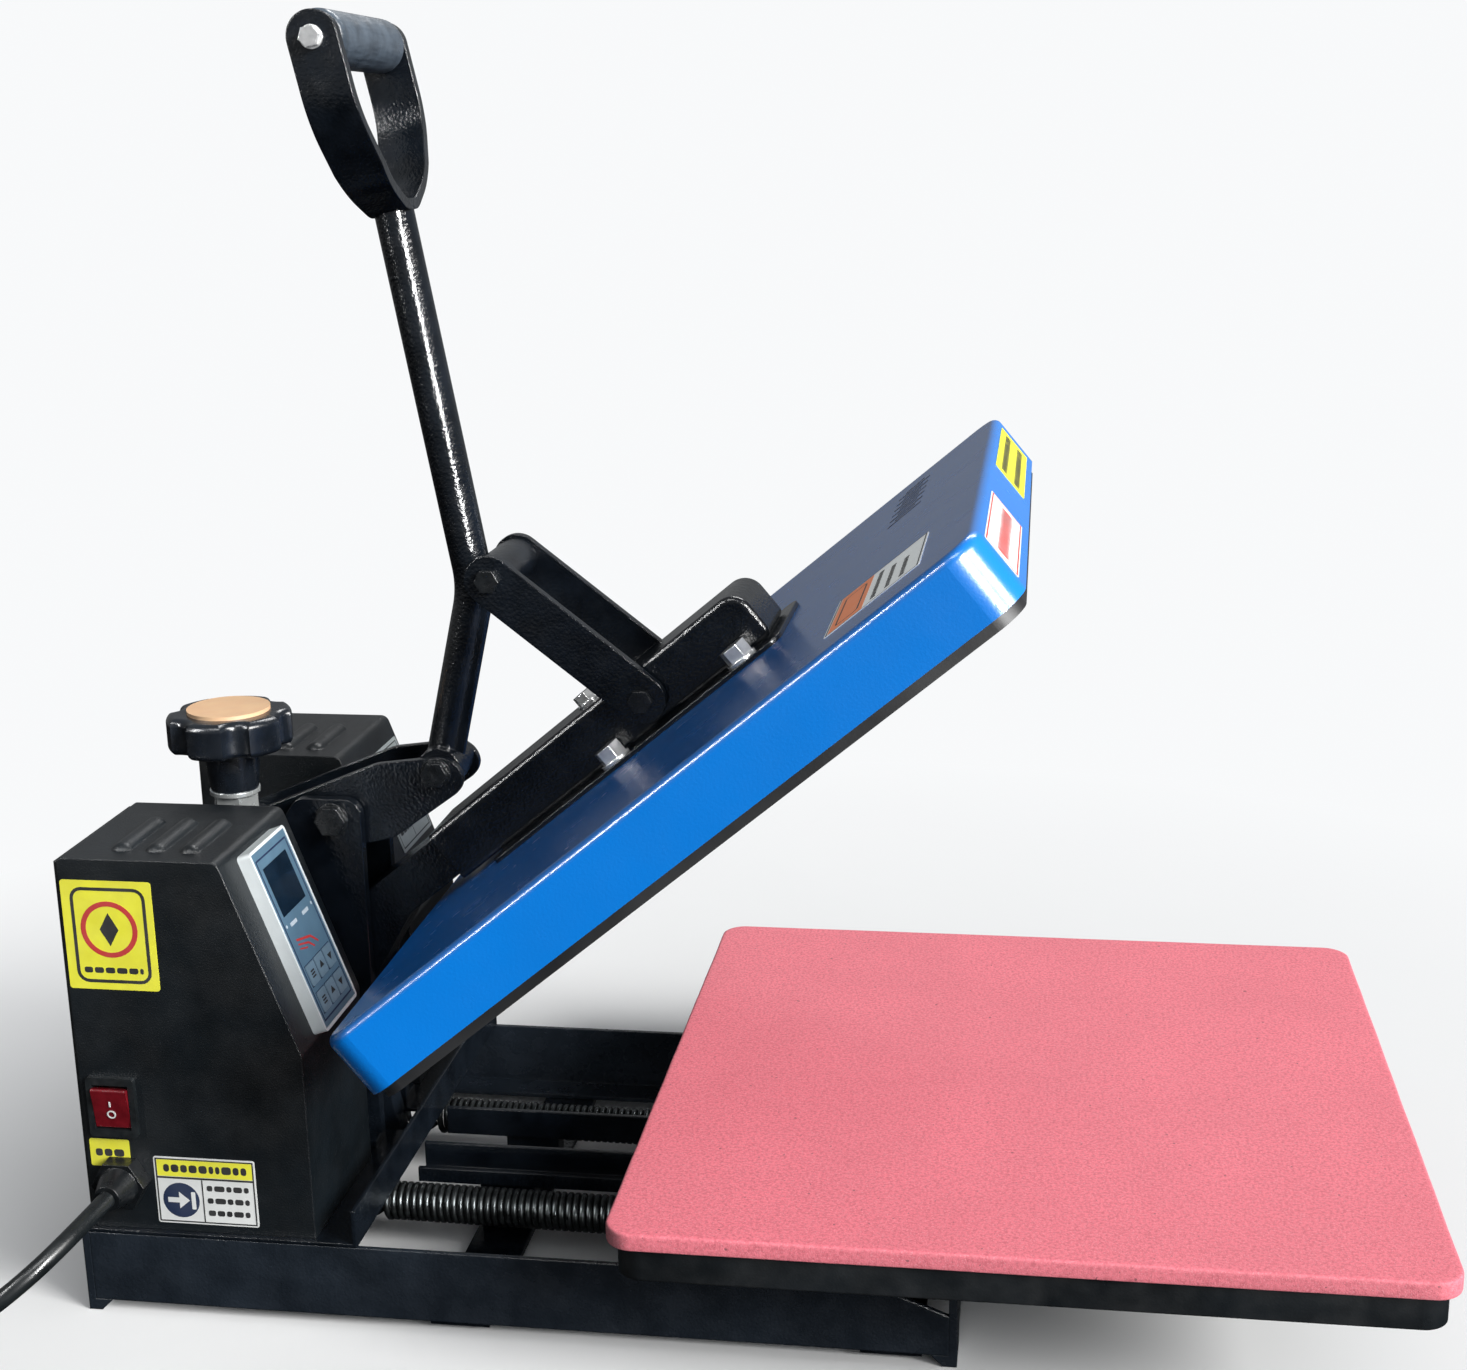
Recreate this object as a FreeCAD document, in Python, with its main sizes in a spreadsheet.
# Clamshell heat press with a slide-out lower platen.
#
# Axes: +X points to the user, +Y to the user's right hand side, +Z up, millimetres.
# Every sub-part is drawn with x measured from the rear plane of the base. The whole model
# then moves back by half its length, so that the origin is the centre of its footprint.
# It is drawn open, with the lower platen pulled out towards the user.

import FreeCAD, Part
import math
import os
import re

Vector = FreeCAD.Vector
Placement = FreeCAD.Placement
Rotation = FreeCAD.Rotation
UP = Vector(0, 0, 1)
ACROSS = Vector(0, 1, 0)
FORWARD = Vector(1, 0, 0)
NEAR, FAR = -1, 1

doc = FreeCAD.newDocument("heat_press")

# ---------------------------------------------------------------- driving dimensions

DRIVING = (
    ("platen_side", 380, "side of both square platens"),
    ("pad_thick", 8.6, "silicone pad"),
    ("pad_top", 93.5, "working height of the pad above the floor"),
    ("pad_rear", 282, "rear edge of the pad with the drawer out"),
    ("base_long", 442, "base, rear plane to front plane"),
    ("base_half", 134, "half width of the base"),
    ("rail_top", 44, "top of the side rails"),
    ("rail_foot", 6, "underside of the side rails above the floor"),
    ("rail_wall", 2.5, "side rail sheet"),
    ("rail_lip", 18, "inward lip at the bottom of a side rail"),
    ("guide_in", 20, "inner side of a guide rail from the middle plane"),
    ("guide_wide", 16, "width of a guide rail"),
    ("guide_wall", 2.5, "guide rail sheet"),
    ("slide_wide", 9, "width of a slide bar"),
    ("end_wall", 4, "end plates of the base"),
    ("deck_wall", 2, "deck plate sheet"),
    ("deck_long", 145, "deck plate, rear to front"),
    ("box_wall", 1.5, "sheet of the control boxes"),
    ("box_outer", 131, "outer side of a box from the middle plane"),
    ("box_inner", 44.4, "inner side of a box from the middle plane"),
    ("box_rear", 6, "rear of the boxes"),
    ("box_top_front", 87.6, "front edge of a box's roof"),
    ("box_front", 123, "front of the boxes below the slope"),
    ("box_top", 243.4, "roof of the boxes"),
    ("slope_foot", 145, "lower edge of the sloped front"),
    ("louvre_long", 50, "length of a louvre"),
    ("louvre_half", 6.2, "radius of a louvre"),
    ("tower_gap", 19, "inner face of a tower plate from the middle plane"),
    ("tower_wall", 6, "tower plate"),
    ("hinge_pin_r", 6, "main hinge pin radius"),
    ("arm_pin_r", 5, "radius of the pivot pins of the linkage"),
    ("running_fit", 0.05, "radial clearance of a turning fit"),
    ("arm_half", 18, "outer half width of the pressure arm"),
    ("arm_wall", 4, "side plates of the pressure arm"),
    ("screw_r", 6, "pressure screw radius"),
    ("knob_r", 33, "star knob radius"),
    ("knob_head", 20, "height of the knob's head"),
    ("tube_r", 10, "lever tube radius"),
    ("cross_r", 11, "cross tube radius"),
    ("link_wall", 5, "link plate"),
    ("link_half", 12.5, "half width of a link"),
    ("link_in", 27, "inner face of a link from the middle plane"),
    ("strap_wide", 25, "width of the handle straps"),
    ("strap_wall", 5.5, "thickness of the handle straps"),
    ("strap_out", 54, "outer face of a handle strap from the middle plane"),
    ("grip_r", 13.5, "grip radius"),
    ("beam_half", 25, "half width of the box beam"),
    ("beam_wall", 3, "wall of the box beam"),
    ("beam_top", 32, "top of the beam above the cover"),
    ("flange_half", 43, "half width of the beam's flange"),
    ("flange_wall", 2.5, "thickness of the beam's flange"),
    ("cover_high", 33, "height of the upper cover"),
    ("cover_wall", 1.5, "sheet of the upper cover"),
    ("plate_drop", 38.5, "cover top to the underside of the heating plate"),
    ("plate_thick", 12, "heating plate"),
    ("plate_inset", 4, "heating plate's edge inside the cover's edge"),
    ("tray_inset", 5, "tray edge behind the pad edge, front and rear"),
    ("tray_side_inset", 2.5, "tray edge inside the pad edge, sides"),
    ("tray_bottom", 69, "underside of the lower tray"),
    ("tray_wall", 3, "lower tray sheet"),
    ("spring_half", 50, "springs, from the middle plane"),
    ("coil_r", 11, "outer radius of the extension springs"),
    ("wire_r", 1.8, "spring wire radius"),
    ("tail_bar_r", 3, "spring bar on the hinge arm"),
    ("anchor_bar_r", 5, "spring anchor bar in the base"),
    ("bezel_high", 7, "height of the controller bezel"),
    ("cord_r", 4.5, "mains cord radius"),
    ("coil_mid_r", 47.25, "mid radius of the stored cord's coil"),
    ("coil_high", 18.2, "height of the stored cord's coil"),
    ("open_angle", 39.3, "opening of the upper platen, degrees"),
)
ALIASES = {alias for alias, _, _ in DRIVING}
dims = doc.addObject("Spreadsheet::Sheet", "Dims")
for row, (alias, number, meaning) in enumerate(DRIVING, 1):
    dims.set(f"A{row}", meaning)
    dims.set(f"B{row}", str(number))
    dims.setAlias(f"B{row}", alias)
doc.recompute()


class Sizes:
    """The spreadsheet's values, read by alias."""

    def __getattr__(self, alias):
        return float(getattr(dims, alias))


size = Sizes()

# ---------------------------------------------------------------- places in the side view (x, z)

TOTAL_LONG = size.pad_rear + size.platen_side
GUIDE_MIDDLE = size.guide_in + size.guide_wide / 2
GUIDE_FOOT = size.rail_top - 16
OPEN = math.radians(size.open_angle)
MAIN_HINGE = (100.0, 131.0)
ARM_PIVOT = (107.5, 230.5)
LEVER_PIVOT = (163.5, 255.5)
CROSS_PIVOT = (200.4, 361.6)
ELBOW = (184.9, 351.7)
TUBE_TOP = (152.77, 542.71)
TAIL_BAR = (122.0, 24.0)
ANCHOR_BAR = (312.0, 22.0)
SCREW_X = 44.3
CLOSED_GAP = 0.3
CLOSED_REAR = 170.4
CLOSED_TOP = size.pad_top + CLOSED_GAP + size.plate_drop


def turned(point, centre, angle):
    """The point turned about the centre, anticlockwise in the side view."""
    dx = point[0] - centre[0]
    dz = point[1] - centre[1]
    return (centre[0] + dx * math.cos(angle) - dz * math.sin(angle),
            centre[1] + dx * math.sin(angle) + dz * math.cos(angle))


COVER_CORNER = turned((CLOSED_REAR, CLOSED_TOP), MAIN_HINGE, OPEN)


def in_platen(point):
    """A side view point in the upper platen's own axes: along the cover, above the cover."""
    return turned((point[0] - COVER_CORNER[0], point[1] - COVER_CORNER[1]), (0, 0), -OPEN)


LINK_END = (174.1, 18.3)
LINK_PIVOT = turned((COVER_CORNER[0] + LINK_END[0], COVER_CORNER[1] + LINK_END[1]), COVER_CORNER, OPEN)
PLATEN_PLACE = Placement(Vector(COVER_CORNER[0], 0, COVER_CORNER[1]), Rotation(ACROSS, -size.open_angle))

slope_run = size.box_front - size.box_top_front
slope_drop = size.box_top - size.slope_foot
SLOPE_ANGLE = math.degrees(math.atan2(slope_drop, slope_run))
SLOPE_LONG = math.hypot(slope_run, slope_drop)
PANEL_PLACE = Placement(Vector(size.box_top_front, 0, size.box_top), Rotation(ACROSS, SLOPE_ANGLE))

# ---------------------------------------------------------------- building helpers

subparts = {}


def bound(expression):
    """The expression with each alias pointing at its cell."""
    return re.sub(r"[a-z][a-z_]+", lambda word: "Dims." + word.group() if word.group() in ALIASES
                  else word.group(), str(expression))


def box(name, lengths, corner):
    """A block with bound lengths along x, y and z from its lowest corner."""
    item = doc.addObject("Part::Box", name)
    for prop, expression in zip(("Length", "Width", "Height"), lengths):
        item.setExpression(prop, bound(expression))
    item.Placement.Base = Vector(*corner)
    return item


def rod(name, radius, length, start, axis=ACROSS):
    """A cylinder with a bound radius and length, from the middle of its first end."""
    item = doc.addObject("Part::Cylinder", name)
    item.setExpression("Radius", bound(radius))
    item.setExpression("Height", bound(length))
    item.Placement = Placement(Vector(*start), Rotation(UP, axis))
    return item


def cross_rod(name, radius, half, point):
    """A rod along y through a side view point, half to each side of the middle plane."""
    return rod(name, radius, f"2 * ({half})", (point[0], -half_value(half), point[1]))


def half_value(half):
    """The value of a half length given as a number, an alias or alias plus number."""
    total = 0.0
    for term in str(half).split("+"):
        term = term.strip()
        total += getattr(size, term) if term in ALIASES else float(term)
    return total


def cone(name, first_r, last_r, length, start, axis=UP):
    item = doc.addObject("Part::Cone", name)
    item.Radius1 = first_r
    item.Radius2 = last_r
    item.Height = length
    item.Placement = Placement(Vector(*start), Rotation(UP, axis))
    return item


def outline(points):
    """Lines through the points, with a tangent arc at each point that gives a radius."""
    corners = [Vector(p[0], p[1], 0) for p in points]
    radii = [p[2] if len(p) > 2 else 0 for p in points]
    count = len(points)
    ends = []
    for i in range(count):
        before = (corners[i - 1] - corners[i]).normalize()
        after = (corners[(i + 1) % count] - corners[i]).normalize()
        turn = before.getAngle(after)
        back = radii[i] / math.tan(turn / 2) if radii[i] else 0
        first = corners[i] + before * back
        last = corners[i] + after * back
        middle = None
        if radii[i]:
            inward = (before + after).normalize()
            middle = corners[i] + inward * (radii[i] / math.sin(turn / 2) - radii[i])
        ends.append((first, middle, last))
    edges = []
    for i in range(count):
        first, middle, last = ends[i]
        if middle:
            edges.append(Part.Arc(first, middle, last))
        edges.append(Part.LineSegment(last, ends[(i + 1) % count][0]))
    return edges


def plate(name, points, thickness, middle=0.0, holes=(), plane="XZ_Plane"):
    """A flat piece: a sketched outline padded evenly about the named plane, then moved along its normal."""
    body = doc.addObject("PartDesign::Body", name)
    sketch = body.newObject("Sketcher::SketchObject", name + "_sketch")
    origin_plane = next(item for item in body.Origin.OriginFeatures if item.Role == plane)
    sketch.AttachmentSupport = [(origin_plane, "")]
    sketch.MapMode = "FlatFace"
    sketch.addGeometry(outline(points), False)
    for x, y, radius in holes:
        sketch.addGeometry(Part.Circle(Vector(x, y, 0), UP, radius), False)
    pad = body.newObject("PartDesign::Pad", name + "_pad")
    pad.Profile = sketch
    pad.SideType = "Symmetric"
    pad.setExpression("Length", bound(thickness))
    normal = {"XZ_Plane": ACROSS, "YZ_Plane": FORWARD, "XY_Plane": UP}[plane]
    body.Placement.Base = normal * middle
    return body


def fuse(name, *items):
    item = doc.addObject("Part::MultiFuse", name)
    item.Shapes = list(items)
    item.Refine = True
    return item


def cut(name, base, *tools):
    for number, tool in enumerate(tools):
        last = number == len(tools) - 1
        item = doc.addObject("Part::Cut", name if last else f"{name}_cut{number}")
        item.Base = base
        item.Tool = tool
        item.Refine = True
        base = item
    return base


def group(name, *items):
    """Identical loose pieces kept together as separate solids."""
    item = doc.addObject("Part::Compound", name)
    item.Links = list(items)
    return item


def rounded(name, base, radius, wanted):
    """The base with every edge that the test wants rounded."""
    doc.recompute()
    edges = [(number, radius, radius) for number, edge in enumerate(base.Shape.Edges, 1) if wanted(edge)]
    item = doc.addObject("Part::Fillet", name)
    item.Base = base
    item.Edges = edges
    return item


def upright(edge):
    """True for a straight edge along z."""
    ends = [vertex.Point for vertex in edge.Vertexes]
    return len(ends) == 2 and abs(abs((ends[0] - ends[1]).z) - edge.Length) < 1e-6


def at_height(height):
    """A test for edges that lie in one level plane."""
    return lambda edge: all(abs(vertex.Point.z - height) < 1e-6 for vertex in edge.Vertexes) \
        and abs(edge.BoundBox.ZLength) < 1e-6


def keep(label, item, place=None):
    """Names a finished sub-part and gives it its place."""
    item.Label = label
    if place is not None:
        item.Placement = place.multiply(item.Placement)
    subparts[label] = item
    return item


def hexagon(across_flats):
    """The corners of a hexagon, centred on its own axis."""
    corner_r = across_flats / math.sqrt(3)
    return [(corner_r * math.cos(math.radians(60 * k)), corner_r * math.sin(math.radians(60 * k)))
            for k in range(6)]


def hex_head(name, across_flats, height, start, axis=UP):
    """A hexagon head or nut from the middle of its first face."""
    head = plate(name, hexagon(across_flats), height, plane="XY_Plane")
    half = Placement(Vector(0, 0, height / 2), Rotation())
    head.Placement = Placement(Vector(*start), Rotation(UP, axis)).multiply(half)
    return head


def swept_tube(name, route, radius, share=0.45):
    """A round tube along straight runs joined by tangent arcs; also returns its least radius."""
    points = [Vector(*point) for point in route]
    edges = []
    radii = []
    here = points[0]
    for before, corner, after in zip(points, points[1:], points[2:]):
        back = (before - corner).normalize()
        ahead = (after - corner).normalize()
        turn = math.pi - back.getAngle(ahead)
        reach = share * min((before - corner).Length, (after - corner).Length)
        bend = reach / math.tan(turn / 2)
        radii.append(bend)
        first = corner + back * reach
        last = corner + ahead * reach
        inward = (back + ahead).normalize()
        middle = corner + inward * (bend / math.cos(turn / 2) - bend)
        edges.append(Part.LineSegment(here, first).toShape())
        edges.append(Part.Arc(first, middle, last).toShape())
        here = last
    edges.append(Part.LineSegment(here, points[-1]).toShape())
    path = doc.addObject("Part::Feature", name + "_path")
    path.Shape = Part.Wire(edges)
    ring = doc.addObject("Part::Circle", name + "_ring")
    ring.setExpression("Radius", bound(radius))
    ring.Placement = Placement(points[0], Rotation(UP, points[1] - points[0]))
    tube = doc.addObject("Part::Sweep", name)
    tube.Sections = [ring]
    tube.Spine = (path, [f"Edge{k + 1}" for k in range(len(edges))])
    tube.Solid = True
    tube.Transition = "Right corner"
    return tube, radii, path


# ---------------------------------------------------------------- base

def end_plate(label, rear):
    """A plate across the end of the base; its outer corners reach down as feet."""
    half = size.base_half
    top = size.rail_top
    foot = size.rail_foot
    points = [(-half, 0), (-half + 20, 0), (-half + 28, foot), (half - 28, foot), (half - 20, 0), (half, 0),
              (half, top), (-half, top)]
    middle = size.end_wall / 2 if rear else size.base_long - size.end_wall / 2
    wall = plate(label + "_wall", points, "end_wall", middle, plane="YZ_Plane")
    start = size.end_wall if rear else size.base_long - size.end_wall
    reach = 1 if rear else -1
    gusset = [(start, 0), (start + reach * 3, 0), (start + reach * 9, foot), (start, foot)]
    pieces = [wall]
    for side in (NEAR, FAR):
        pieces.append(plate(f"{label}_foot{side + 1}", gusset, "20", side * (half - 10)))
    whole = fuse(label + "_whole", *pieces)
    if rear:
        return keep(label, whole)
    notches = [box(f"{label}_notch{side + 1}", ("end_wall + 2", "slide_wide + 4", "20"),
                   (size.base_long - size.end_wall - 1, side * GUIDE_MIDDLE - size.slide_wide / 2 - 2, 29.5))
               for side in (NEAR, FAR)]
    return keep(label, cut(label, whole, *notches))


def side_rail(label, side):
    """A bent channel: an upright web with a lip turned inwards at the bottom."""
    front = size.base_long - size.end_wall
    points = [(size.end_wall, size.rail_foot), (front, size.rail_foot), (front, 27), (front - 44, size.rail_top),
              (size.end_wall, size.rail_top)]
    web = plate(label + "_web", points, "rail_wall", side * (size.base_half - size.rail_wall / 2))
    lip_y = size.base_half - size.rail_wall
    low_y = lip_y - size.rail_lip if side == FAR else -lip_y
    lip = box(label + "_lip", ("base_long - 2 * end_wall", "rail_lip", "rail_wall"),
              (size.end_wall, low_y, size.rail_foot))
    keep(label, fuse(label, web, lip))


def deck_plate():
    """The sheet that the boxes and the tower stand on, with an upturned front lip."""
    half = size.base_half
    sheet = box("deck_sheet", ("deck_long", "2 * base_half", "deck_wall"), (0, -half, size.rail_top))
    lip = box("deck_lip", ("deck_wall", "2 * base_half", "20"),
              (size.deck_long - size.deck_wall, -half, size.rail_top))
    whole = fuse("deck_whole", sheet, lip)
    arm_slot = box("deck_arm_slot", ("102", "26", "6"), (35, -13, size.rail_top - 2))
    keep("deck_plate", cut("deck_plate", whole, arm_slot))


def guide_rails():
    """Two open channels that carry the drawer's slide bars; the outer wall is the lower one."""
    rails = []
    wall = size.guide_wall
    for side in (NEAR, FAR):
        inner_face = GUIDE_MIDDLE - size.guide_wide / 2
        low_y = inner_face if side == FAR else -inner_face - size.guide_wide
        outer = box(f"guide_outer{side + 1}", ("base_long - end_wall - 146", "guide_wide", "16"),
                    (146, low_y, GUIDE_FOOT))
        hollow = box(f"guide_hollow{side + 1}", ("base_long", "guide_wide - 2 * guide_wall", "16"),
                     (140, low_y + wall, GUIDE_FOOT + wall))
        step_y = inner_face + wall if side == FAR else -inner_face - wall - size.guide_wide
        step = box(f"guide_step{side + 1}", ("base_long", "guide_wide", "16"), (140, step_y, GUIDE_FOOT + 8))
        rails.append(cut(f"guide_rail{side + 1}", outer, hollow, step))
    keep("guide_rails", group("guide_rails", *rails))


def guide_brackets():
    """Two cross bars under the rails' lips, each with an upright under each guide rail."""
    brackets = []
    for number, x in enumerate((180, 395)):
        bar = box(f"bracket_bar{number}", ("30", "2 * base_half - 2 * rail_wall", "3"),
                  (x, -size.base_half + size.rail_wall, size.rail_foot - 3))
        uprights = [box(f"bracket_post{number}{side + 1}", ("30", "12", GUIDE_FOOT - size.rail_foot),
                        (x, side * GUIDE_MIDDLE - 6, size.rail_foot)) for side in (NEAR, FAR)]
        brackets.append(fuse(f"guide_bracket{number}", bar, *uprights))
    keep("guide_brackets", group("guide_brackets", *brackets))


def spring_anchor_bar():
    bar = cross_rod("spring_anchor_bar", "anchor_bar_r", 131.5, ANCHOR_BAR)
    keep("spring_anchor_bar", bar)


# ---------------------------------------------------------------- tower and pressure adjustment

def tower_plate(label, side):
    """An upright cheek that carries the main hinge, the arm pivot and the trunnion."""
    foot = size.rail_top + size.deck_wall
    points = [(32, foot), (123, foot), (123, 241.5, 9), (88, 241.5, 7), (60, 200, 10), (32, 168, 8)]
    holes = [(*MAIN_HINGE, size.hinge_pin_r), (*ARM_PIVOT, size.arm_pin_r)]
    cheek = plate(label + "_cheek", points, "tower_wall", side * (size.tower_gap + size.tower_wall / 2), holes)
    outer = size.tower_gap + size.tower_wall
    flange = box(label + "_flange", ("91", "10", "4"), (32, outer if side == FAR else -outer - 10, foot))
    keep(label, fuse(label, cheek, flange))


def capped_pin(label, radius, half, point, cap_r, cap_high=4.2):
    """A pivot bolt along y with a washer and a hexagon on each end, clear of the outermost plates."""
    pieces = [cross_rod(label + "_shaft", radius, half, point)]
    for side in (NEAR, FAR):
        start = (point[0], side * half_value(half), point[1])
        pieces.append(rod(f"{label}_washer{side + 1}", cap_r, 1.2, start, ACROSS * side))
        head_start = (point[0], side * (half_value(half) + 1.2), point[1])
        pieces.append(hex_head(f"{label}_cap{side + 1}", 2 * cap_r - 3.4, cap_high, head_start, ACROSS * side))
    keep(label, fuse(label, *pieces))


def trunnion():
    """A cross bar welded between the cheeks; the pressure screw runs through its wide bore."""
    bar = cross_rod("trunnion_bar", "13", "tower_gap", (SCREW_X, 150))
    bore = rod("trunnion_bore", "screw_r + 4.2", "40", (SCREW_X, 0, 130), UP)
    keep("trunnion", cut("trunnion", bar, bore))


def pressure_arm():
    """Two side plates with a web and a rear block; it carries the lever and tilts on the tower."""
    points = [(31, 206, 5), (31, 218.8, 4), (130.5, 259.3, 20), (163.5, 263.6), (177.5, 263.6, 12),
              (177.5, 247, 11), (138.6, 219, 14), (118, 214, 20), (80, 204, 12)]
    holes = [(*ARM_PIVOT, size.arm_pin_r + size.running_fit), (*LEVER_PIVOT, size.arm_pin_r)]
    middle = size.arm_half - size.arm_wall / 2
    sides = [plate(f"arm_side{side + 1}", points, "arm_wall", side * middle, holes) for side in (NEAR, FAR)]
    inner_half = size.arm_half - size.arm_wall
    web = plate("arm_web", [(60, 204), (80, 204), (118, 214), (136, 218), (136, 222), (118, 218), (80, 208),
                            (60, 208)], "2 * (arm_half - arm_wall)")
    block = box("arm_block", ("26", "2 * (arm_half - arm_wall)", "20"), (31.5, -inner_half, 206))
    bore = rod("arm_bore", "screw_r + running_fit", "40", (SCREW_X, 0, 200), UP)
    keep("pressure_arm", cut("pressure_arm", fuse("arm_whole", *sides, web, block), bore))


def pressure_screw():
    """The threaded rod, its nut and washer, and the star knob with its coloured cap disc."""
    keep("pressure_screw", rod("pressure_screw", "screw_r", "134", (SCREW_X, 0, 128), UP))
    nut = hex_head("nut_hex", 22, 10.2, (SCREW_X, 0, 226))
    washer = rod("washer_disc", "13.4", "2.4", (SCREW_X, 0, 236.2), UP)
    bore = rod("nut_bore", "screw_r", "20", (SCREW_X, 0, 222), UP)
    keep("pressure_nut", cut("pressure_nut", fuse("nut_whole", washer, nut), bore))

    neck_foot, head_foot = 238.6, 262.0
    neck = cone("knob_neck", 12.7, 15.2, head_foot - neck_foot, (SCREW_X, 0, neck_foot))
    disc = rod("knob_disc", "knob_r", "knob_head", (SCREW_X, 0, head_foot), UP)
    flute_ring = size.knob_r + 4.5
    flutes = []
    for k in range(6):
        angle = math.radians(60 * k - 63)
        centre = (SCREW_X + flute_ring * math.cos(angle), flute_ring * math.sin(angle), head_foot - 1)
        flutes.append(rod(f"knob_flute{k}", "9", "knob_head + 2", centre, UP))
    star = cut("knob_star", disc, *flutes)
    rims = [at_height(head_foot), at_height(head_foot + size.knob_head)]
    star = rounded("knob_round", star, 4.0, lambda edge: any(rim(edge) for rim in rims))
    recess = rod("knob_recess", "22.1", "3", (SCREW_X, 0, head_foot + size.knob_head - 1), UP)
    bore = rod("knob_bore", "screw_r", "24.4", (SCREW_X, 0, neck_foot - 1), UP)
    keep("knob", cut("knob", fuse("knob_whole", neck, star), recess, bore))
    keep("knob_cap", rod("knob_cap", "22", "3", (SCREW_X, 0, head_foot + size.knob_head - 1), UP))


# ---------------------------------------------------------------- handle lever and links

def lever():
    """The bent lever tube with its pivot barrel, the cross tube, the handle fork and the grip."""
    route = [(LEVER_PIVOT[0], 0, LEVER_PIVOT[1] + 4), (ELBOW[0], 0, ELBOW[1]), (TUBE_TOP[0], 0, TUBE_TOP[1])]
    bar, _, _ = swept_tube("lever_bar", route, "tube_r", share=0.12)
    barrel = cross_rod("lever_barrel", "12", 13.7, LEVER_PIVOT)
    bore = cross_rod("lever_bore", "arm_pin_r + running_fit", 15, LEVER_PIVOT)
    keep("lever_tube", cut("lever_tube", fuse("lever_whole", bar, barrel), bore))

    cross = cross_rod("cross_full", "cross_r", "link_in + -0.3", CROSS_PIVOT)
    cope, _, _ = swept_tube("cross_cope", route, "tube_r", share=0.12)
    keep("cross_tube", cut("cross_tube", cross, cope))

    out = size.strap_out
    inn = out - size.strap_wall
    bolt_up = 81.9
    strap = [(-out, bolt_up), (-out, 44, 46), (-31, 10, 44), (-9, -2, 22), (9, -2, 22), (31, 10, 44),
             (out, 44, 46), (out, bolt_up), (inn, bolt_up), (inn, 45.7, 40.5), (27.2, 14.2, 38.5), (7.6, 3.5, 16.5),
             (-7.6, 3.5, 16.5), (-27.2, 14.2, 38.5), (-inn, 45.7, 40.5), (-inn, bolt_up)]
    lean = Placement(Vector(TUBE_TOP[0], 0, TUBE_TOP[1]), Rotation(ACROSS, -12.09))
    band = plate("fork_band", strap, "strap_wide", plane="YZ_Plane")
    eyes = [rod(f"fork_eye{side + 1}", "strap_wide / 2", "strap_wall",
                (0, -out if side == NEAR else inn, bolt_up)) for side in (NEAR, FAR)]
    eye_bore = rod("fork_bore", "4", "120", (0, -60, bolt_up))
    socket = rod("fork_socket", "tube_r", "30", (0, 0, -30), UP)
    turn_in = Placement(Vector(0, 0, 0), Rotation(ACROSS, 12.09 - 9.548))
    socket.Placement = turn_in.multiply(socket.Placement)
    edge = size.strap_wide / 2
    shoulders = [plate(f"fork_shoulder{k + 1}", [(k * (edge + 2), 30), (k * (edge + 2), -8), (k * 10.2, -8),
                                                 (k * 10.2, 0, 6), (k * edge, 20, 14), (k * edge, 30)], "80")
                 for k in (-1, 1)]
    fork = cut("handle_fork", fuse("fork_whole", band, *eyes), eye_bore, socket, *shoulders)
    keep("handle_fork", fork, lean)

    barrel = rod("grip_barrel", "grip_r", "2 * strap_out - 2 * strap_wall - 0.4", (0, -inn + 0.2, bolt_up))
    rims = rounded("grip_round", barrel, 5.0, lambda edge: abs(edge.BoundBox.YLength) < 1e-6)
    grip_bore = rod("grip_bore", "4", "120", (0, -60, bolt_up))
    keep("grip", cut("grip", rims, grip_bore), lean)

    shaft = rod("grip_shaft", "4", "2 * strap_out + 4", (0, -out - 2, bolt_up))
    washers = [rod(f"grip_washer{side + 1}", "5.6", "1.2", (0, side * out, bolt_up), ACROSS * side)
               for side in (NEAR, FAR)]
    heads = [hex_head(f"grip_head{side + 1}", 8.8, 3.8, (0, side * (out + 1.2), bolt_up), ACROSS * side)
             for side in (NEAR, FAR)]
    keep("grip_bolt", fuse("grip_bolt", shaft, *washers, *heads), lean)


def link(label, side):
    """A flat bar with round ends, from the cross tube to the side of the beam."""
    span = math.hypot(LINK_PIVOT[0] - CROSS_PIVOT[0], LINK_PIVOT[1] - CROSS_PIVOT[1])
    slant = math.degrees(math.atan2(LINK_PIVOT[1] - CROSS_PIVOT[1], LINK_PIVOT[0] - CROSS_PIVOT[0]))
    half = size.link_half
    fillet_r = half - 0.01
    points = [(-half, -half, fillet_r), (span + half, -half, fillet_r), (span + half, half, fillet_r),
              (-half, half, fillet_r)]
    holes = [(0, 0, size.arm_pin_r), (span, 0, size.arm_pin_r + size.running_fit)]
    bar = plate(label, points, "link_wall", 0, holes)
    bar.Placement = Placement(Vector(CROSS_PIVOT[0], side * (size.link_in + size.link_wall / 2), CROSS_PIVOT[1]),
                              Rotation(ACROSS, -slant))
    keep(label, bar)


def link_bolts(label, point, gap):
    """A short bolt through the near link and one through the far link, at a side view point."""
    bolts = []
    for side in (NEAR, FAR):
        inner = side * size.link_in
        outer = side * (size.link_in + size.link_wall + gap)
        shaft = rod(f"{label}_shaft{side + 1}", "arm_pin_r", f"link_wall + {gap}", (point[0], inner, point[1]),
                    ACROSS * side)
        cap = hex_head(f"{label}_cap{side + 1}", 11, 4, (point[0], outer, point[1]), ACROSS * side)
        bolts.append(fuse(f"{label}_bolt{side + 1}", shaft, cap))
    return keep(label, group(label, *bolts))


# ---------------------------------------------------------------- upper platen, drawn in its own axes

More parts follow.
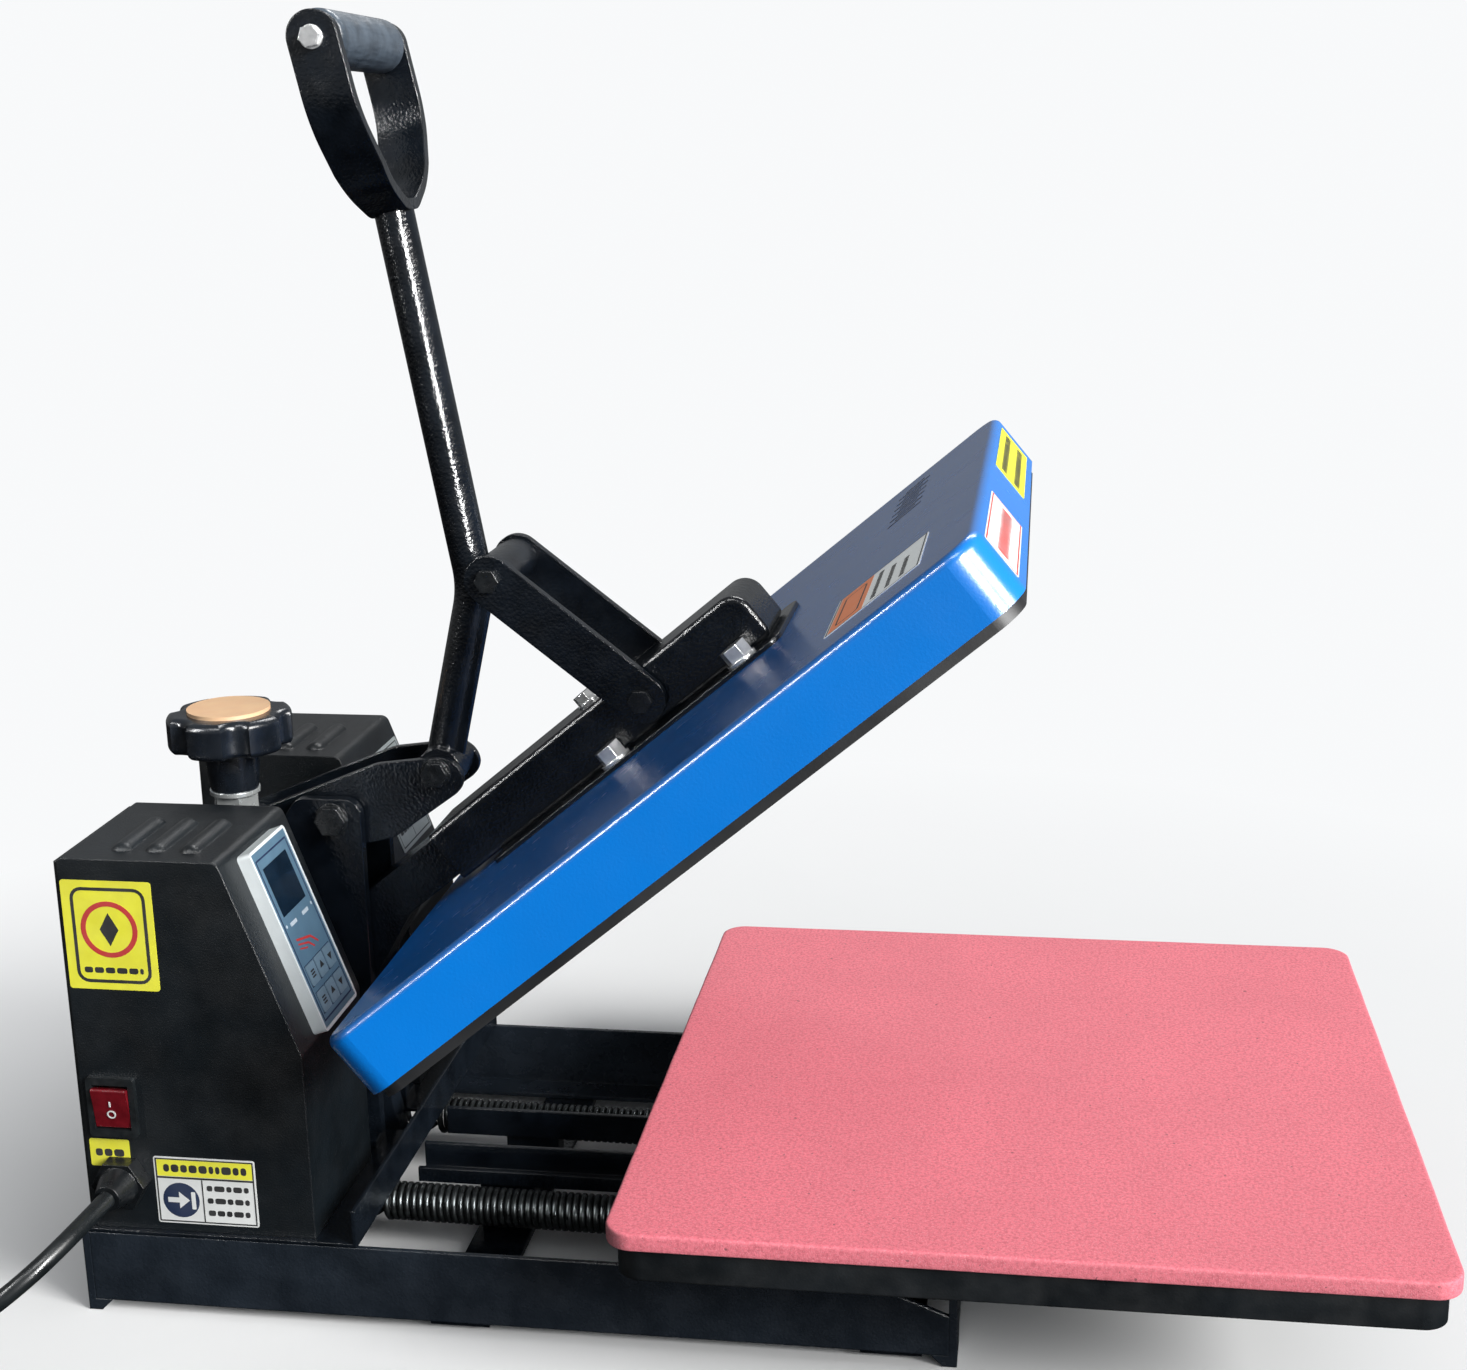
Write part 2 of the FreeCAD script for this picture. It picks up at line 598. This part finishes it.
def hinge_arm():
    """A solid bar from the beam back to the main hinge, with a tail that holds the spring bar."""
    pivot = in_platen(MAIN_HINGE)
    tail = in_platen(TAIL_BAR)
    low = size.flange_wall + size.beam_wall
    high = size.beam_top - size.beam_wall
    points = [(70, low), (70, high), (-22, high, 14), (-80, 9, 8), (-84, -10, 6), (-62, -15, 6), (-8, low, 14)]
    arm = plate("arm_bar", points, "34")
    boss = cross_rod("arm_boss", "15", 17, pivot)
    along = Vector(tail[0] - pivot[0], tail[1] - pivot[1], 0).normalize()
    beside = Vector(-along.y, along.x, 0)
    stations = [(pivot, 11, 1), (tail, 8, 1), (tail, 8, -1), (pivot, 11, -1)]
    tail_points = [(spot[0] + beside.x * half * side, spot[1] + beside.y * half * side)
                   for spot, half, side in stations]
    tail_plate = plate("arm_tail", tail_points, "14")
    tail_eye = cross_rod("arm_tail_eye", "8", 7, tail)
    bar = cross_rod("arm_spring_bar", "tail_bar_r", 62, tail)
    bore = cross_rod("arm_pin_bore", "hinge_pin_r + running_fit", 20, pivot)
    whole = fuse("arm_fused", arm, boss, tail_plate, tail_eye, bar)
    keep("hinge_arm", cut("hinge_arm", whole, bore), PLATEN_PLACE)


def beam():
    """A box beam with a closed rounded front, a base flange and a boss at each link end."""
    rear, front, foot, top = 33, 247, size.flange_wall, size.beam_top
    wall = size.beam_wall
    outer = plate("beam_outer", [(rear, foot), (front, foot, 4), (front, top, 11), (rear, top)], "2 * beam_half")
    inner = plate("beam_inner", [(rear - 5, foot + wall), (front - wall, foot + wall), (front - wall, top - wall, 8),
                                 (rear - 5, top - wall)], "2 * beam_half - 2 * beam_wall")
    half = size.flange_half
    flange = plate("beam_flange", [(60, -half, 4), (253, -half, 9), (253, half, 9), (60, half, 4)],
                   "flange_wall", foot / 2, plane="XY_Plane")
    hollow = cut("beam_hollow", outer, inner)
    long_edges = lambda edge: edge.Length > 150 and abs(edge.CenterOfMass.z - top) < 1
    hollow = rounded("beam_eased", hollow, 3.0, long_edges)
    boss = cross_rod("beam_boss", "9", "link_in + -0.3", LINK_END)
    pin = cross_rod("beam_pin", "arm_pin_r", "link_in", LINK_END)
    keep("beam", fuse("beam", hollow, flange, boss, pin), PLATEN_PLACE)


def platen_bolts():
    """Four flange bolts through the beam's flange and one small bolt on top of the beam."""
    bolts = []
    for number, (along, side) in enumerate((a, s) for a in (144.4, 229.0) for s in (NEAR, FAR)):
        y = side * (size.beam_half + 9.2)
        washer = rod(f"bolt_washer{number}", "8.4", "1.6", (along, y, size.flange_wall), UP)
        head = hex_head(f"bolt_head{number}", 13, 7.5, (along, y, size.flange_wall + 1.6))
        bolts.append(fuse(f"bolt{number}", washer, head))
    washer = rod("top_washer", "6.5", "1.2", (141, 0, size.beam_top), UP)
    head = hex_head("top_head", 10, 5, (141, 0, size.beam_top + 1.2))
    bolts.append(fuse("top_bolt", washer, head))
    keep("platen_bolts", group("platen_bolts", *bolts), PLATEN_PLACE)


def upper_cover():
    """A pressed sheet cover, open below, with round corners and rounded top edges."""
    half = size.platen_side / 2
    low = -size.cover_high
    outer = box("cover_outer", ("platen_side", "platen_side", "cover_high"), (0, -half, low))
    outer = rounded("cover_corners", outer, 17.0, upright)
    outer = rounded("cover_edges", outer, 4.5, at_height(0))
    wall = size.cover_wall
    inner = box("cover_inner", ("platen_side - 2 * cover_wall", "platen_side - 2 * cover_wall", "cover_high"),
                (wall, -half + wall, low - wall))
    inner = rounded("cover_inner_corners", inner, 15.5, upright)
    inner = rounded("cover_inner_edges", inner, 3.0, at_height(-wall))
    keep("upper_cover", cut("upper_cover", outer, inner), PLATEN_PLACE)


def heating_plate():
    """The aluminium plate that presses, and the insulating board above it."""
    half = size.platen_side / 2 - size.plate_inset
    block = box("heater_block", ("platen_side - 2 * plate_inset", "platen_side - 2 * plate_inset", "plate_thick"),
                (size.plate_inset, -half, -size.plate_drop))
    keep("heating_plate", rounded("heating_plate", block, 14.0, upright), PLATEN_PLACE)
    board = box("board_block", ("platen_side - 20", "platen_side - 20", "plate_drop - plate_thick - cover_wall"),
                (10, -size.platen_side / 2 + 10, size.plate_thick - size.plate_drop))
    keep("insulation_board", rounded("insulation_board", board, 18.0, upright), PLATEN_PLACE)


# ---------------------------------------------------------------- springs

def springs():
    """Two extension springs from the hinge arm's tail to the base; each is made as two plain halves.

    The loop at each end is as wide as the coil, so the bar has room in it as the arm swings."""
    reach = math.hypot(ANCHOR_BAR[0] - TAIL_BAR[0], ANCHOR_BAR[1] - TAIL_BAR[1])
    lift = math.degrees(math.atan2(TAIL_BAR[1] - ANCHOR_BAR[1], ANCHOR_BAR[0] - TAIL_BAR[0]))
    loop_r = size.coil_r - size.wire_r
    coil_from = size.coil_r - 0.5
    coil_long = reach / 2 - coil_from - 0.3
    for label, end, ahead in (("spring_fixed_halves", ANCHOR_BAR, -1), ("spring_moving_halves", TAIL_BAR, 1)):
        halves = []
        for side in (NEAR, FAR):
            loop = doc.addObject("Part::Torus", f"{label}_loop{side + 1}")
            loop.setExpression("Radius2", bound("wire_r"))
            loop.Radius1 = loop_r
            loop.Placement = Placement(Vector(0, 0, 0), Rotation(UP, ACROSS))
            coil = rod(f"{label}_coil{side + 1}", "coil_r", coil_long, (ahead * coil_from, 0, 0), FORWARD * ahead)
            half = fuse(f"{label}_half{side + 1}", loop, coil)
            half.Placement = Placement(Vector(end[0], side * size.spring_half, end[1]), Rotation(ACROSS, lift))
            halves.append(half)
        keep(label, group(label, *halves))


# ---------------------------------------------------------------- drawer with the lower platen

def drawer():
    """Slide bars and cross members, the tray they carry and the silicone pad on it."""
    pieces = []
    frame_top = size.pad_top - size.pad_thick - size.tray_wall
    for side in (NEAR, FAR):
        pieces.append(box(f"slide_bar{side + 1}", ("290", "slide_wide", "tray_bottom - 31.5"),
                          (300, side * GUIDE_MIDDLE - size.slide_wide / 2, 31.5)))
    for number, x in enumerate((320, 560)):
        pieces.append(box(f"slide_cross{number}", ("26", "280", frame_top - 60), (x, -140, 60)))
    keep("slide_frame", fuse("slide_frame", *pieces))

    rear = size.pad_rear + size.tray_inset
    half = size.platen_side / 2 - size.tray_side_inset
    outer = box("tray_outer", ("platen_side - 2 * tray_inset", "platen_side - 2 * tray_side_inset",
                               "pad_top - pad_thick - tray_bottom"), (rear, -half, size.tray_bottom))
    outer = rounded("tray_corners", outer, 13.0, upright)
    wall = size.tray_wall
    inner = box("tray_inner", ("platen_side - 2 * tray_inset - 2 * tray_wall",
                               "platen_side - 2 * tray_side_inset - 2 * tray_wall",
                               "pad_top - pad_thick - tray_bottom"), (rear + wall, -half + wall,
                                                                      size.tray_bottom - wall))
    keep("lower_tray", cut("lower_tray", outer, rounded("tray_inner_corners", inner, 10.0, upright)))

    pad = box("pad_block", ("platen_side", "platen_side", "pad_thick"),
              (size.pad_rear, -size.platen_side / 2, size.pad_top - size.pad_thick))
    pad = rounded("pad_corners", pad, 14.0, upright)
    keep("silicone_pad", rounded("silicone_pad", pad, 1.2, at_height(size.pad_top)))


# ---------------------------------------------------------------- control boxes

def box_shell(label, side):
    """A folded sheet housing, open at the rear and below, with three louvres pressed in its roof."""
    rear, front, top = size.box_rear, size.box_front, size.box_top
    roof_front, slope_foot, wall = size.box_top_front, size.slope_foot, size.box_wall
    foot = size.rail_top + size.deck_wall
    middle = side * (size.box_outer + size.box_inner) / 2
    outer = plate(label + "_outer", [(rear, foot), (front, foot), (front, slope_foot, 6), (roof_front, top, 5),
                                     (rear, top, 3)], "box_outer - box_inner", middle)
    lean = math.atan2(slope_run, slope_drop)
    inner_foot = slope_foot - wall * math.tan(lean / 2)
    inner_front = roof_front - wall * math.tan(math.pi / 4 - lean / 2)
    inner = plate(label + "_inner", [(rear - 5, foot - 5), (front - wall, foot - 5), (front - wall, inner_foot, 4.5),
                                     (inner_front, top - wall, 3.5), (rear - 5, top - wall)],
                  "box_outer - box_inner - 2 * box_wall", middle)
    louvres = []
    first_y = (-size.box_outer if side == NEAR else size.box_inner) + 10.5
    for number, x in enumerate((33, 50.5, 68)):
        centre_z = top - 3.0
        ridge = rod(f"{label}_ridge{number}", "louvre_half", "louvre_long - 2 * louvre_half",
                    (x, first_y + size.louvre_half, centre_z))
        tips = []
        for end, y in enumerate((first_y + size.louvre_half, first_y + size.louvre_long - size.louvre_half)):
            tip = doc.addObject("Part::Sphere", f"{label}_tip{number}{end}")
            tip.setExpression("Radius", bound("louvre_half"))
            tip.Placement.Base = Vector(x, y, centre_z)
            tips.append(tip)
        louvres += [ridge, *tips]
    whole = fuse(label + "_whole", outer, *louvres)
    slot_tools = [inner]
    if side == NEAR:
        slot_tools.append(box(label + "_switch_hole", ("22", "6", "28"), (12, -size.box_outer - 3, 99.5)))
        slot_tools.append(rod(label + "_gland_hole", "8", "6", (25, -size.box_outer - 3, 73.4)))
    keep(label, cut(label, whole, *slot_tools))


def box_floors():
    """The sheet in the bottom of each box that the electrical parts are screwed to."""
    floors = []
    for side in (NEAR, FAR):
        low = size.box_inner + size.box_wall + 0.2
        y = low if side == FAR else -size.box_outer + size.box_wall + 0.2
        floors.append(box(f"box_floor{side + 1}", ("box_front - box_rear - box_wall - 1",
                                                   "box_outer - box_inner - 2 * box_wall - 0.4", "box_wall"),
                          (size.box_rear + 0.5, y, size.rail_top + size.deck_wall)))
    keep("box_floors", group("box_floors", *floors))


def rear_covers():
    """A flat cover with vent slots closing the rear of each box."""
    covers = []
    foot = size.rail_top + size.deck_wall
    for side in (NEAR, FAR):
        low = size.box_inner + 0.8 if side == FAR else -size.box_outer + 0.8
        sheet = box(f"rear_sheet{side + 1}", ("box_wall", "box_outer - box_inner - 1.6", "box_top - rail_top - 4"),
                    (size.box_rear - size.box_wall, low, foot))
        slots = [box(f"rear_slot{side + 1}{k}", ("4", "46", "3"), (3, low + 19.5, 150 + 9 * k)) for k in range(6)]
        covers.append(cut(f"rear_cover{side + 1}", sheet, *slots))
    keep("rear_covers", group("rear_covers", *covers))


KEYS = ("key_temp_set", "key_temp_up", "key_temp_down", "key_time_set", "key_time_up", "key_time_down")
KEY_SIZE = (11.0, 10.4)
KEY_ROWS = (75.0, 89.5)
KEY_COLUMNS = (-99.6, -87.8, -76.0)
BEZEL = (5.0, 103.0, -111.0, -64.5)
DISPLAY = (16.0, 42.5, -103.5, -73.0)


def panel_block(name, along, across, low, high):
    """A block in the sloped panel's axes: along the slope, across it and above it."""
    return box(name, (along[1] - along[0], across[1] - across[0], high - low), (along[0], across[0], low))


def key_span(row, column, grow=0.0):
    half_long = KEY_SIZE[0] / 2 + grow
    half_wide = KEY_SIZE[1] / 2 + grow
    return (row - half_long, row + half_long), (column - half_wide, column + half_wide)


def controller():
    """The bezel on the near box's slope with its overlay, display window, six keys and circuit board."""
    top = size.bezel_high
    s0, s1, y0, y1 = BEZEL
    frame = rounded("bezel_corners", box("bezel_block", (s1 - s0, y1 - y0, "bezel_high"), (s0, y0, 0)), 2.5, upright)
    recess = panel_block("bezel_recess", (s0 + 1.6, s1 - 1.6), (y0 + 1.6, y1 - 1.6), top - 1.0, top + 1)
    key_wells = panel_block("bezel_well", (KEY_ROWS[0] - 6.2, KEY_ROWS[1] + 6.2),
                            (KEY_COLUMNS[0] - 6, KEY_COLUMNS[2] + 6), top - 3.4, top)
    keep("controller_bezel", cut("controller_bezel", frame, recess, key_wells), PANEL_PLACE)

    sheet = panel_block("overlay_sheet", (s0 + 1.8, s1 - 1.8), (y0 + 1.8, y1 - 1.8), top - 1.0, top - 0.2)
    window = panel_block("overlay_window", DISPLAY[:2], DISPLAY[2:], top - 2, top + 1)
    openings = [panel_block(f"overlay_key{r}{c}", *key_span(row, column, 0.3), top - 2, top + 1)
                for r, row in enumerate(KEY_ROWS) for c, column in enumerate(KEY_COLUMNS)]
    keep("controller_overlay", cut("controller_overlay", sheet, window, *openings), PANEL_PLACE)

    inset = 0.1
    pane = panel_block("display_window", (DISPLAY[0] + inset, DISPLAY[1] - inset),
                       (DISPLAY[2] + inset, DISPLAY[3] - inset), top - 1.0, top - 0.1)
    keep("display_window", pane, PANEL_PLACE)
    board = panel_block("board_sheet", (12, 92), (-108, -68), -11, -9.4)
    posts = [rod(f"board_post{x}{y + 108}", "2.5", "11 - box_wall", (x, y, -11), UP)
             for x in (16, 88) for y in (-104, -72)]
    keep("controller_board", fuse("controller_board", board, *posts), PANEL_PLACE)
    spots = [(row, column) for row in KEY_ROWS for column in KEY_COLUMNS]
    for label, (row, column) in zip(KEYS, spots):
        cap = panel_block(label + "_cap", *key_span(row, column), top - 2.8, top + 0.4)
        keep(label, rounded(label, cap, 1.2, upright), PANEL_PLACE)


SWITCH = (23.0, 113.5)


def mains_switch():
    """A rocker switch in the near box's side: a housing with a rim, and the rocker in it."""
    x, z = SWITCH
    face = -size.box_outer
    rim = box("switch_rim", ("25", "3", "32"), (x - 12.5, face - 3, z - 16))
    rim = rounded("switch_rim_round", rim, 2.0, lambda edge: abs(edge.BoundBox.YLength - edge.Length) < 1e-6)
    can = box("switch_can", ("21.6", "20", "27.6"), (x - 10.8, face, z - 13.8))
    well = box("switch_well", ("19", "14", "24"), (x - 9.5, face - 4, z - 12))
    pin_holes = rod("switch_pin_holes", "1.65", "21.2", (x - 10.6, face - 1, z), FORWARD)
    keep("switch_housing", cut("switch_housing", fuse("switch_whole", rim, can), well, pin_holes))
    points = [(-4.6, 10.9, 1.0), (-2.6, 0, 20), (-0.9, -11.7, 0.8), (4, -9), (4, 9)]
    rocker = plate("switch_rocker", points, "18.4", plane="YZ_Plane")
    rocker.Placement.Base = Vector(x, face - 1, z)
    pins = rod("rocker_pins", "1.6", "20.8", (x - 10.4, face - 1, z), FORWARD)
    keep("switch_rocker", fuse("switch_rocker", rocker, pins))


def solid_state_relay():
    """The relay that feeds the heater, on the near box's floor."""
    foot = size.rail_top + size.deck_wall + size.box_wall
    keep("solid_state_relay", rounded("solid_state_relay", box("relay_block", ("58", "44", "26"), (44, -104, foot)),
                                      2.0, upright))


# ---------------------------------------------------------------- mains cord

GLAND = (25.0, 73.4)
GLAND_END = -152.0
COIL_CENTRE = (-122.0, -146.0)
CORD_ROUTE = (
    (25, -152, 73.4),
    (21, -180, 70),
    (6, -203, 57),
    (-20, -214, 38),
    (-50, -214, 19),
    (-78, -207.5, 7.5),
    (-98, -204.5, 4.6),
)


def cable_gland():
    """A hexagon body with a tapering clamp cap outside the box and a nut inside it."""
    x, z = GLAND
    face = -size.box_outer
    base = hex_head("gland_hex", 24, 9, (x, face, z), -ACROSS)
    cap = cone("gland_cap", 10.5, 6.5, -GLAND_END - size.box_outer - 9, (x, face - 9, z), -ACROSS)
    thread = rod("gland_thread", "7.9", "12", (x, face, z))
    nut = hex_head("gland_nut", 22, 4, (x, face + size.box_wall, z), ACROSS)
    keep("cable_gland", fuse("cable_gland", base, cap, thread, nut))


def mains_cord():
    """The visible stretch of cord, the coil of what is stored, and the plug beside it."""
    tube, radii, path = swept_tube("cord_tube", CORD_ROUTE, "cord_r")
    cx, cy = COIL_CENTRE
    outer_r = "coil_mid_r + 3.5 * cord_r"
    ring = rod("coil_outer", outer_r, "coil_high", (cx, cy, 0), UP)
    hole = rod("coil_hole", "coil_mid_r - 3.5 * cord_r", "coil_high + 4", (cx, cy, -2), UP)
    keep("cord_coil", cut("cord_coil", ring, hole))
    keep("mains_cord", cut("mains_cord", tube, rod("cord_trim", outer_r, "coil_high", (cx, cy, 0), UP)))

    x = cx - size.coil_mid_r - 2.5 * size.cord_r
    z = 12.0
    relief = cone("plug_relief", size.cord_r + 0.5, 8, 30, (x, cy + 24, z), ACROSS)
    body = box("plug_block", ("26", "30", "24"), (x - 13, cy + 52, 0))
    body = rounded("plug_round", body, 5.0, lambda edge: abs(edge.BoundBox.YLength - edge.Length) < 1e-6)
    front = cy + 82
    blades = [box(f"plug_blade{k + 1}", ("1.5", "18", "6.3"), (x + k * 6.35 - 0.75, front, z - 1)) for k in (-1, 1)]
    ground = rod("plug_ground", "2.4", "20", (x, front, z - 6))
    trim = rod("plug_trim", outer_r, "coil_high", (cx, cy, 0), UP)
    keep("mains_plug", cut("mains_plug", fuse("plug_whole", relief, body, *blades, ground), trim))
    return radii, path


# ---------------------------------------------------------------- the whole press

end_plate("rear_end_plate", True)
end_plate("front_end_plate", False)
side_rail("side_rail_near", NEAR)
side_rail("side_rail_far", FAR)
deck_plate()
guide_rails()
guide_brackets()
spring_anchor_bar()
tower_plate("tower_plate_near", NEAR)
tower_plate("tower_plate_far", FAR)
capped_pin("main_hinge_pin", "hinge_pin_r", "tower_gap + tower_wall", MAIN_HINGE, 9)
capped_pin("arm_pivot_bolt", "arm_pin_r", "tower_gap + tower_wall", ARM_PIVOT, 9)
trunnion()
pressure_arm()
capped_pin("lever_pivot_bolt", "arm_pin_r", "arm_half", LEVER_PIVOT, 8)
pressure_screw()
lever()
link("link_near", NEAR)
link("link_far", FAR)
link_bolts("link_upper_bolts", CROSS_PIVOT, 0.0)
link_bolts("link_lower_bolts", LINK_PIVOT, 0.2)
hinge_arm()
beam()
platen_bolts()
upper_cover()
heating_plate()
springs()
drawer()
box_shell("near_box_shell", NEAR)
box_shell("far_box_shell", FAR)
box_floors()
rear_covers()
controller()
mains_switch()
solid_state_relay()
cable_gland()
cord_radii, cord_path = mains_cord()
doc.recompute()

centred = Placement(Vector(-TOTAL_LONG / 2, 0, 0), Rotation())
for item in subparts.values():
    item.Placement = centred.multiply(item.Placement)
doc.recompute()

# ---------------------------------------------------------------- checks and export

for item in doc.Objects:
    if {"Invalid", "Error"} & set(item.State):
        raise RuntimeError(f"{item.Name} failed: {item.State}")
for label, item in subparts.items():
    if item.Shape.isNull() or not item.Shape.isValid() or not item.Shape.Solids:
        raise RuntimeError(f"{label} has no valid solid")

cord_section = math.pi * size.cord_r ** 2
cord_long = cord_path.Shape.Length
tube_volume = doc.getObject("cord_tube").Shape.Volume
print("cord length to the coil", round(cord_long, 1), "volume ratio", round(tube_volume / cord_section / cord_long, 4))
print("cord radii", [round(radius, 1) for radius in cord_radii])
print("link pivot", LINK_PIVOT, "cover corner", COVER_CORNER)

os.makedirs("parts", exist_ok=True)
for label, item in subparts.items():
    item.Shape.exportStep(os.path.join("parts", label + ".step"))
print(len(subparts), "sub-parts written")
